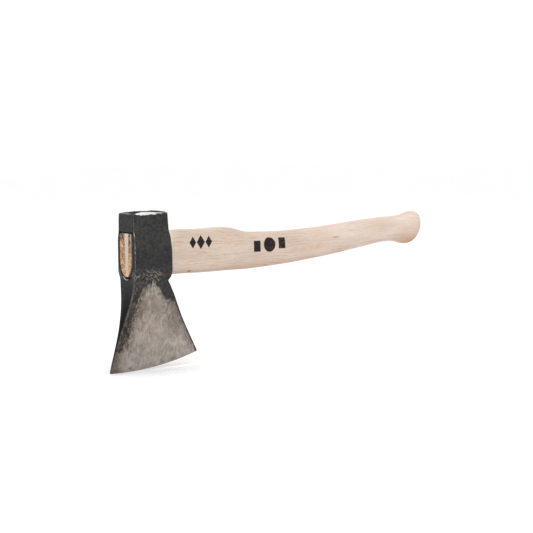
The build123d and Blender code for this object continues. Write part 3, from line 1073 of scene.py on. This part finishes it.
def eye_mouth(r):
    """The painted highlight in an arc on the chamfer below the eye's mouth, and the painted shadow inside the
    eye and round its mouth.
    """
    across = r.calc("DIVIDE", r.y, 12.1)
    below = r.calc("DIVIDE", r.calc("MINIMUM", r.total(r.z, 5.9), 0.0), 18.5)
    mouth = r.calc("SQRT", r.squares(across, below))
    at_mouth = r.step(r.x, -43.6, -44.2)
    # Painted highlight on the lower arc of the chamfer, which is bare metal.
    crescent_highlight = r.product(r.within(mouth, 1.02, 1.07, 0.02), r.step(r.z, -20, -23.5), at_mouth,
                         r.step(r.y, -8, 0))
    near_mouth = r.less(mouth, r.product(r.step(r.y, 0, -8), 0.08))
    # Painted shadow on the end face round the mouth, a little wider on the near side.
    mouth_shadow = r.product(r.step(mouth, 0.90, 0.96), r.step(near_mouth, 1.08, 1.02), r.step(r.z, 24.5, 23.5),
                       at_mouth)
    return crescent_highlight, r.product(r.most(mouth_shadow, r.attribute("bore")), r.less(1.0, crescent_highlight))


def forged_steel():
    """Black forging scale, brown in places; bare ground steel on the blade; bright metal where it is worn;
    painted shade on the flank, painted shadow in the eye and a painted highlight below its mouth.
    """
    r = Recipe("forged_steel")
    mottle = r.noise(3.2, detail=6, seed=13, rough=0.76)
    grit = r.noise(0.8, detail=3, seed=17, rough=0.6)
    clouds = r.noise(13.0, detail=7, seed=5, rough=0.68)
    streaks = r.noise(2.3, (1, 1, 2.6), detail=5, seed=7, rough=0.64, turn=-0.10)
    strokes = beaten_strokes(r)
    low_corner = r.product(r.within(r.z, -28, -15, 3), r.step(r.out, 8, 12))
    bare = ground_coat(r, clouds, streaks)
    ground = ground_area(r, bare, low_corner)
    coat = scale_coat(r, mottle, grit, strokes, low_corner)
    thin_the_strip(r, coat)
    bright, corner = poll_bright(r)
    crescent_highlight, mouth_shadow = eye_mouth(r)
    # Worn ridges: broken light lines
    chips = r.total(r.attribute("wear"), r.wobble(0.60, 2.6, detail=5, seed=31, rough=0.68))
    breaks = r.spots(0.42, 0.56, 5.0, (1, 1, 1.6), detail=4, seed=42, rough=0.65)
    ridges = r.product(r.step(chips, 0.60, 0.80), r.span(breaks, 0.25, 1.0))
    worn = r.product(r.most(ridges, bright, crescent_highlight), r.less(1.0, ground))
    metal_coat = Coat(r, r.mix(r.within(r.z, -6, 27, 4), SCALE_WORN, RIDGE_LIGHT))
    # Painted highlight: bright metal on the arc of chamfer below the eye's mouth, where light from above
    # catches it.
    metal_coat.over(POLL_BRIGHT, r.most(bright, r.product(crescent_highlight, 0.6)))
    metal_coat.over(POLL_DULL, bright, r.step(r.x, -20, -17))
    metal_coat.over(SCALE_WORN, r.step(mottle, 0.50, 0.64), 0.35)
    metal_coat.over(POLL_BROWN, corner, r.span(r.step(grit, 0.40, 0.60), 0.75, 1.0))
    coat.over(bare.colour, ground)
    coat.over(metal_coat.colour, worn)
    coat.over(LIP_DARK, r.step(r.attribute("lip"), 0.9, 0.3), 0.7)
    # Painted shadow: black inside the eye and on the end face round its mouth.
    coat.over(BLACK, mouth_shadow, 0.96)
    metal = r.product(r.most(ground, worn), r.less(1.0, mouth_shadow))
    poll_scale = r.product(r.step(r.z, 41.9, 42.6), r.less(1.0, metal))
    roughness = r.blend(metal, r.span(mottle, 0.70, 0.90), r.span(clouds, 0.36, 0.52))
    height = r.total(r.product(grit, r.blend(metal, 0.05, 0.008)),
                     r.product(mottle, r.blend(metal, 0.14, 0.0)),
                     r.product(streaks, ground, 0.014), r.product(ground, -0.06),
                     r.product(strokes, low_corner, 0.16))
    specular = r.product(r.less(1.0, r.most(poll_scale, mouth_shadow)), 0.10)
    return r.finish(coat.colour, r.most(roughness, poll_scale), metal, height, specular)


# -------- wood

NECK_DARK, NECK_PALE = shade(186, 169, 154), shade(201, 185, 172)
BUTT_DARK, BUTT_PALE = shade(199, 181, 167), shade(211, 197, 186)
ROSY = shade(206, 170, 154)
YELLOWISH = shade(198, 180, 150)
GRAIN_LINE = shade(162, 126, 104)
FIBRE = shade(168, 140, 118)
FLECK = shade(148, 108, 84)
# Painted shade for the haft's underside and the knob's lower part.
UNDERSIDE_PAINTED_SHADE = shade(160, 122, 94)
KNOB_PAINTED_SHADE = shade(174, 134, 102)
KNOT_RING = shade(174, 142, 108)
WARM_PATCH = shade(196, 148, 108)
SEAM_PAINTED_LIGHT = shade(228, 210, 190)
TAN, TAN_DARK = shade(184, 153, 126), shade(140, 108, 82)
TAN_PALE, TAN_SHADE = shade(212, 178, 140), shade(160, 120, 86)
BAND_DARK, BAND_PALE = shade(124, 86, 58), shade(214, 180, 144)
TOP_RIM_HIGHLIGHT = shade(226, 206, 186)
# Real stains on the end grain, and painted shadow on the tongue's sides inside the eye.
STAIN_AND_SHADOW = shade(58, 40, 30)
INK = shade(16, 13, 16)
WEDGE_DARK, WEDGE_PALE = shade(178, 162, 150), shade(196, 182, 172)
WEDGE_FOOT, WEDGE_LINE = shade(186, 164, 138), shade(160, 136, 118)
WEDGE_BRUISE = shade(150, 128, 110)
FLOOR_TONES = (shade(238, 238, 238), shade(242, 242, 242))

# Ink marks on the haft's near side: lozenges, and a disc between two bars (centre X and Z, half sizes, mm)
INK_LOZENGES = ((27.5, 9.8, 4.2, 6.4), (37.5, 9.8, 5.2, 7.6), (47.5, 9.8, 4.2, 6.4))
INK_DISC = (128.0, 2.6, 8.0, 8.0)
INK_BARS = ((111.0, 1.6, 4.6, 6.0), (145.0, 3.6, 4.6, 6.0))

# Two small knots, low on the neck and in the grip: centre X and Z in mm, how round, reach, core
KNOTS = ((24.3, -19.9, 0.16, 1.5, shade(96, 66, 50)), (222.0, 6.2, 0.05, 1.4, shade(164, 130, 92)))


def ink_mask(r):
    """1 inside the printed shapes, whose outlines are a little uneven."""
    bleed = r.wobble(0.09, 0.8, detail=3, seed=43)

    def local(centre_x, centre_z, half_x, half_z):
        u = r.calc("ABSOLUTE", r.calc("DIVIDE", r.less(r.x, centre_x), half_x))
        v = r.calc("ABSOLUTE", r.calc("DIVIDE", r.less(r.z, centre_z), half_z))
        return u, v

    sizes = [r.total(*local(*lozenge)) for lozenge in INK_LOZENGES]
    sizes += [r.most(*local(*bar)) for bar in INK_BARS]
    sizes.append(r.calc("SQRT", r.squares(*local(*INK_DISC))))
    mask = r.most(*[r.step(r.total(size, bleed), 1.03, 0.95) for size in sizes])
    patchy = r.span(r.spots(0.25, 0.45, 1.4, (2, 1, 1), detail=4, seed=47), 0.78, 1.0)
    return r.product(mask, r.step(r.y, -3, -6), patchy)


def wood_figure(r, lean, spacing, seed):
    """Growth layers: a thin dark line where each layer ends, coming and going along the wood."""
    drift = r.wobble(3.4, 34, (4, 1, 1), detail=3, seed=seed)
    ripple = r.wobble(0.9, 4, (5, 1, 1), detail=4, seed=seed + 1, rough=0.6)
    across = r.total(r.product(r.z, cos(lean) / spacing), r.product(r.y, sin(lean) / spacing),
                     drift, ripple)
    layer = r.calc("FRACT", across)
    fading = r.spots(0.40, 0.60, 6, (5, 1, 1), detail=4, seed=seed + 2, rough=0.6)
    return r.product(r.step(layer, 0.55, 0.93), r.step(layer, 1.0, 0.96), fading)


def long_grain(r, line, fibres, flecks):
    """The haft's sides: paler and plainer towards the butt, with painted shade below and on the knob, painted
    light against the head, and painted shadow on the tongue's sides in the eye.
    """
    broad = r.spots(0.34, 0.66, 22, (4, 1, 1), detail=4, seed=8, rough=0.6)
    neck, butt = r.mix(broad, NECK_DARK, NECK_PALE), r.mix(broad, BUTT_DARK, BUTT_PALE)
    coat = Coat(r, r.mix(r.step(r.x, 60, 330), neck, butt))
    coat.over(ROSY, r.spots(0.50, 0.68, 9, (3.5, 1, 1), detail=5, seed=21, rough=0.62), 0.50)
    coat.over(YELLOWISH, r.spots(0.54, 0.70, 8, (3, 1, 1), detail=4, seed=24, rough=0.6), 0.35)
    plainer = r.span(r.step(r.x, 150, 230), 1.0, 0.6)
    coat.over(GRAIN_LINE, line, plainer, 0.50)
    coat.over(FIBRE, r.step(fibres, 0.48, 0.30), plainer, 0.40)
    coat.over(FLECK, flecks, plainer, 0.45)
    # Painted shade: the underside and the knob's lower part are darkened and browned where less light falls.
    tint = r.less(0.38, r.product(r.step(r.x, 220, 260), 0.30))
    coat.over(UNDERSIDE_PAINTED_SHADE, r.attribute("under"), r.total(tint, r.product(r.step(r.x, 325, 342), 0.90)))
    coat.over(KNOB_PAINTED_SHADE, r.step(r.x, 302, 330), r.span(r.step(r.z, 9, -4), 0.08, 0.62))
    for centre_x, centre_z, roundness, reach, core in KNOTS:
        knot = r.calc("SQRT", r.squares(r.less(r.x, centre_x), r.less(r.z, centre_z), (roundness, 1.2)))
        knot_colour = r.mix(r.step(knot, reach, 0.3), KNOT_RING, core)
        coat.over(knot_colour, r.step(knot, reach * 1.2, 0.4), r.step(r.y, -3, -6), 0.8)
    patch = r.product(r.within(r.x, 176, 205, 10), r.within(r.z, -7.0, 0.5, 3.0), r.step(r.y, 0, -4))
    coat.over(WARM_PATCH, patch, r.spots(0.38, 0.62, 2.2, (3, 1, 1), detail=4, seed=23, rough=0.6), 0.60)
    # Painted light: the wood is lightened next to the head, where the seam would otherwise fall into shade.
    seam_light = r.total(r.product(r.step(r.x, 12, 0), 0.35), r.product(r.step(r.x, 4.5, 1.0), 0.60))
    coat.over(SEAM_PAINTED_LIGHT, seam_light, r.step(r.x, -2, 0))
    # Painted shadow: the tongue's sides deep in the eye are darkened.
    coat.over(STAIN_AND_SHADOW, r.step(r.x, -40, -43), 0.7)
    return coat


def end_grain(r, tufts):
    """The tongue's end: bands of fibres, stained brown beside the wedge and towards the top, and a painted
    highlight along its top rim.
    """
    coat = Coat(r, r.mix(r.step(tufts, 0.40, 0.60), TAN_DARK, TAN))
    coat.over(TAN_PALE, r.step(r.z, -2, -16), r.step(tufts, 0.42, 0.54), 0.6)
    coat.over(TAN_SHADE, r.step(r.y, 1, 5), 0.45)
    bands = r.noise(1.8, (1, 3.0, 1), detail=4, seed=35, rough=0.62)
    coat.over(BAND_DARK, r.step(bands, 0.51, 0.60), 0.75)
    coat.over(BAND_PALE, r.step(bands, 0.48, 0.36), 0.50)
    split = r.product(r.within(r.y, -9.3, -6.2, 0.7), r.step(r.z, 1, 6))
    far_top = r.product(r.step(r.y, 1.5, 3.0), r.step(r.z, 13, 17))
    stain = r.total(r.noise(3.0, (1, 1, 1.8), detail=5, seed=26, rough=0.66), r.product(far_top, 0.10))
    spots = r.spots(0.43, 0.52, 1.7, (1, 1, 1.8), detail=3, seed=43, rough=0.6)
    coat.over(STAIN_AND_SHADOW, r.most(r.step(stain, 0.58, 0.66), r.product(r.most(split, far_top), spots)), 0.90)
    # Painted highlight: a pale band along the top rim of the end grain, where light from above catches it.
    coat.over(TOP_RIM_HIGHLIGHT, r.step(r.total(r.z, r.wobble(1.0, 2.0, seed=37)), 21.6, 22.6), 0.7)
    return coat


def beech():
    """Pale beech with fine flecks along the grain, a stained end and the ink marks."""
    r = Recipe("haft_wood")
    end = r.attribute("end")
    line = wood_figure(r, 0.35, 3.1, 3)
    fibres = r.noise(0.5, (16, 1, 1), detail=4, seed=12, rough=0.6)
    flecks = r.spots(0.60, 0.72, 0.6, (5, 1, 1), detail=3, seed=15, rough=0.6)
    tufts = r.noise(1.3, (1, 1, 3.5), detail=5, seed=33, rough=0.66)
    ink = ink_mask(r)
    coat = long_grain(r, line, fibres, flecks)
    coat.over(end_grain(r, tufts).colour, end)
    coat.over(INK, ink, 0.98)
    roughness = r.total(0.50, r.product(fibres, 0.16), r.product(end, 0.2), r.product(ink, 0.1))
    height = r.total(r.product(fibres, 0.035), r.product(flecks, -0.020), r.product(line, -0.015),
                     r.product(end, tufts, 0.20))
    return r.finish(coat.colour, roughness, 0.0, height, r.blend(ink, 0.35, 0.1))


def pale_wedge_wood():
    """The wedge's whitish wood, greyed and bruised where it was struck."""
    r = Recipe("wedge_wood")
    fibres = r.noise(0.4, (12, 1, 3), detail=3, seed=51)
    bruise = r.noise(2.6, (1, 1, 2), detail=4, seed=57, rough=0.6)
    coat = Coat(r, r.mix(r.step(fibres, 0.30, 0.70), WEDGE_DARK, WEDGE_PALE))
    coat.over(WEDGE_FOOT, r.step(r.z, 8, -16), 0.6)
    coat.over(WEDGE_LINE, wood_figure(r, 1.35, 1.4, 54), 0.25)
    coat.over(WEDGE_BRUISE, r.step(bruise, 0.54, 0.72), 0.45)
    height = r.total(r.product(fibres, 0.05), r.product(bruise, 0.08))
    return r.finish(coat.colour, r.span(bruise, 0.5, 0.75), 0.0, height, 0.3)


def pale_floor():
    r = Recipe("pale_floor")
    tone = r.mix(r.noise(40, detail=2, seed=61), *FLOOR_TONES)
    return r.finish(tone, 0.9, 0.0, r.noise(3, detail=2, seed=63), 0.1)


# -------- the object

head, outer_points, outer_edge = build_head(forged_steel())
cut_eye(head)
finish_head(head, outer_points, outer_edge)

haft = build_haft(beech())
cut_saw_slot(haft)
finish_haft(haft)

build_wedge(pale_wedge_wood())


# -------- floor, light and camera

FLOOR_SIZE = 30.0
FLOOR_CELLS = 24
FLOOR_DROP = 0.5 * MM
SURROUND = 1.0
BACKDROP = 1.05
EXPOSURE = 0.2
AZIMUTH = radians(-36.64)
ELEVATION = radians(5.52)
ROLL = radians(-0.33)
CAMERA_DISTANCE = 1.375
CAMERA_TARGET = Vector((0.1323, 0.0, -0.0226))
SENSOR = 36.0  # mm
LENS = 84.4  # mm
# Each softbox's name, place, what it looks at, size and power
SOFTBOXES = (("overhead", (0.15, -0.2, 1.4), (0.12, 0, 0), (1.6, 1.2), 6.0),
             ("front", (-1.4, -1.0, 0.6), (0.1, 0, -0.02), (1.0, 0.9), 4.0))


def add_floor():
    bm = bmesh.new()
    bmesh.ops.create_grid(bm, x_segments=FLOOR_CELLS, y_segments=FLOOR_CELLS, size=FLOOR_SIZE / 2)
    mesh = bpy.data.meshes.new("floor")
    bm.to_mesh(mesh)
    bm.free()
    mesh.materials.append(pale_floor())
    floor = add_object("floor", mesh)
    floor.location.z = cad_low[2] - FLOOR_DROP


def add_softbox(name, place, aim, size, power):
    light = bpy.data.lights.new(name, "AREA")
    light.shape = "RECTANGLE"
    light.size, light.size_y = size
    light.energy = power
    lamp = add_object(name, light)
    lamp.location = place
    lamp.rotation_euler = (Vector(aim) - Vector(place)).to_track_quat("-Z", "Y").to_euler()


def add_world():
    """An even white surround, a little brighter where the camera sees it."""
    world = bpy.data.worlds.new("studio")
    world.use_nodes = True
    nodes, links = world.node_tree.nodes, world.node_tree.links
    background = nodes["Background"]
    background.inputs["Color"].default_value = (1, 1, 1, 1)
    path = nodes.new("ShaderNodeLightPath")
    strength = nodes.new("ShaderNodeMix")
    strength.inputs[2].default_value = SURROUND
    strength.inputs[3].default_value = BACKDROP
    links.new(path.outputs["Is Camera Ray"], strength.inputs[0])
    links.new(strength.outputs[0], background.inputs["Strength"])
    scene.world = world


def add_camera():
    level_out = Vector((sin(AZIMUTH), -cos(AZIMUTH), 0)) * cos(ELEVATION)
    back = level_out + Vector((0, 0, sin(ELEVATION)))
    data = bpy.data.cameras.new("camera")
    data.lens = LENS
    data.sensor_width = SENSOR
    camera = add_object("camera", data)
    camera.location = CAMERA_TARGET + back * CAMERA_DISTANCE
    level = (-back).to_track_quat("-Z", "Y")
    camera.rotation_euler = (level @ Quaternion((0, 0, 1), ROLL)).to_euler()
    bpy.context.scene.camera = camera


add_floor()
for softbox in SOFTBOXES:
    add_softbox(*softbox)
add_world()
add_camera()
scene.view_settings.view_transform = "Standard"
scene.view_settings.exposure = EXPOSURE
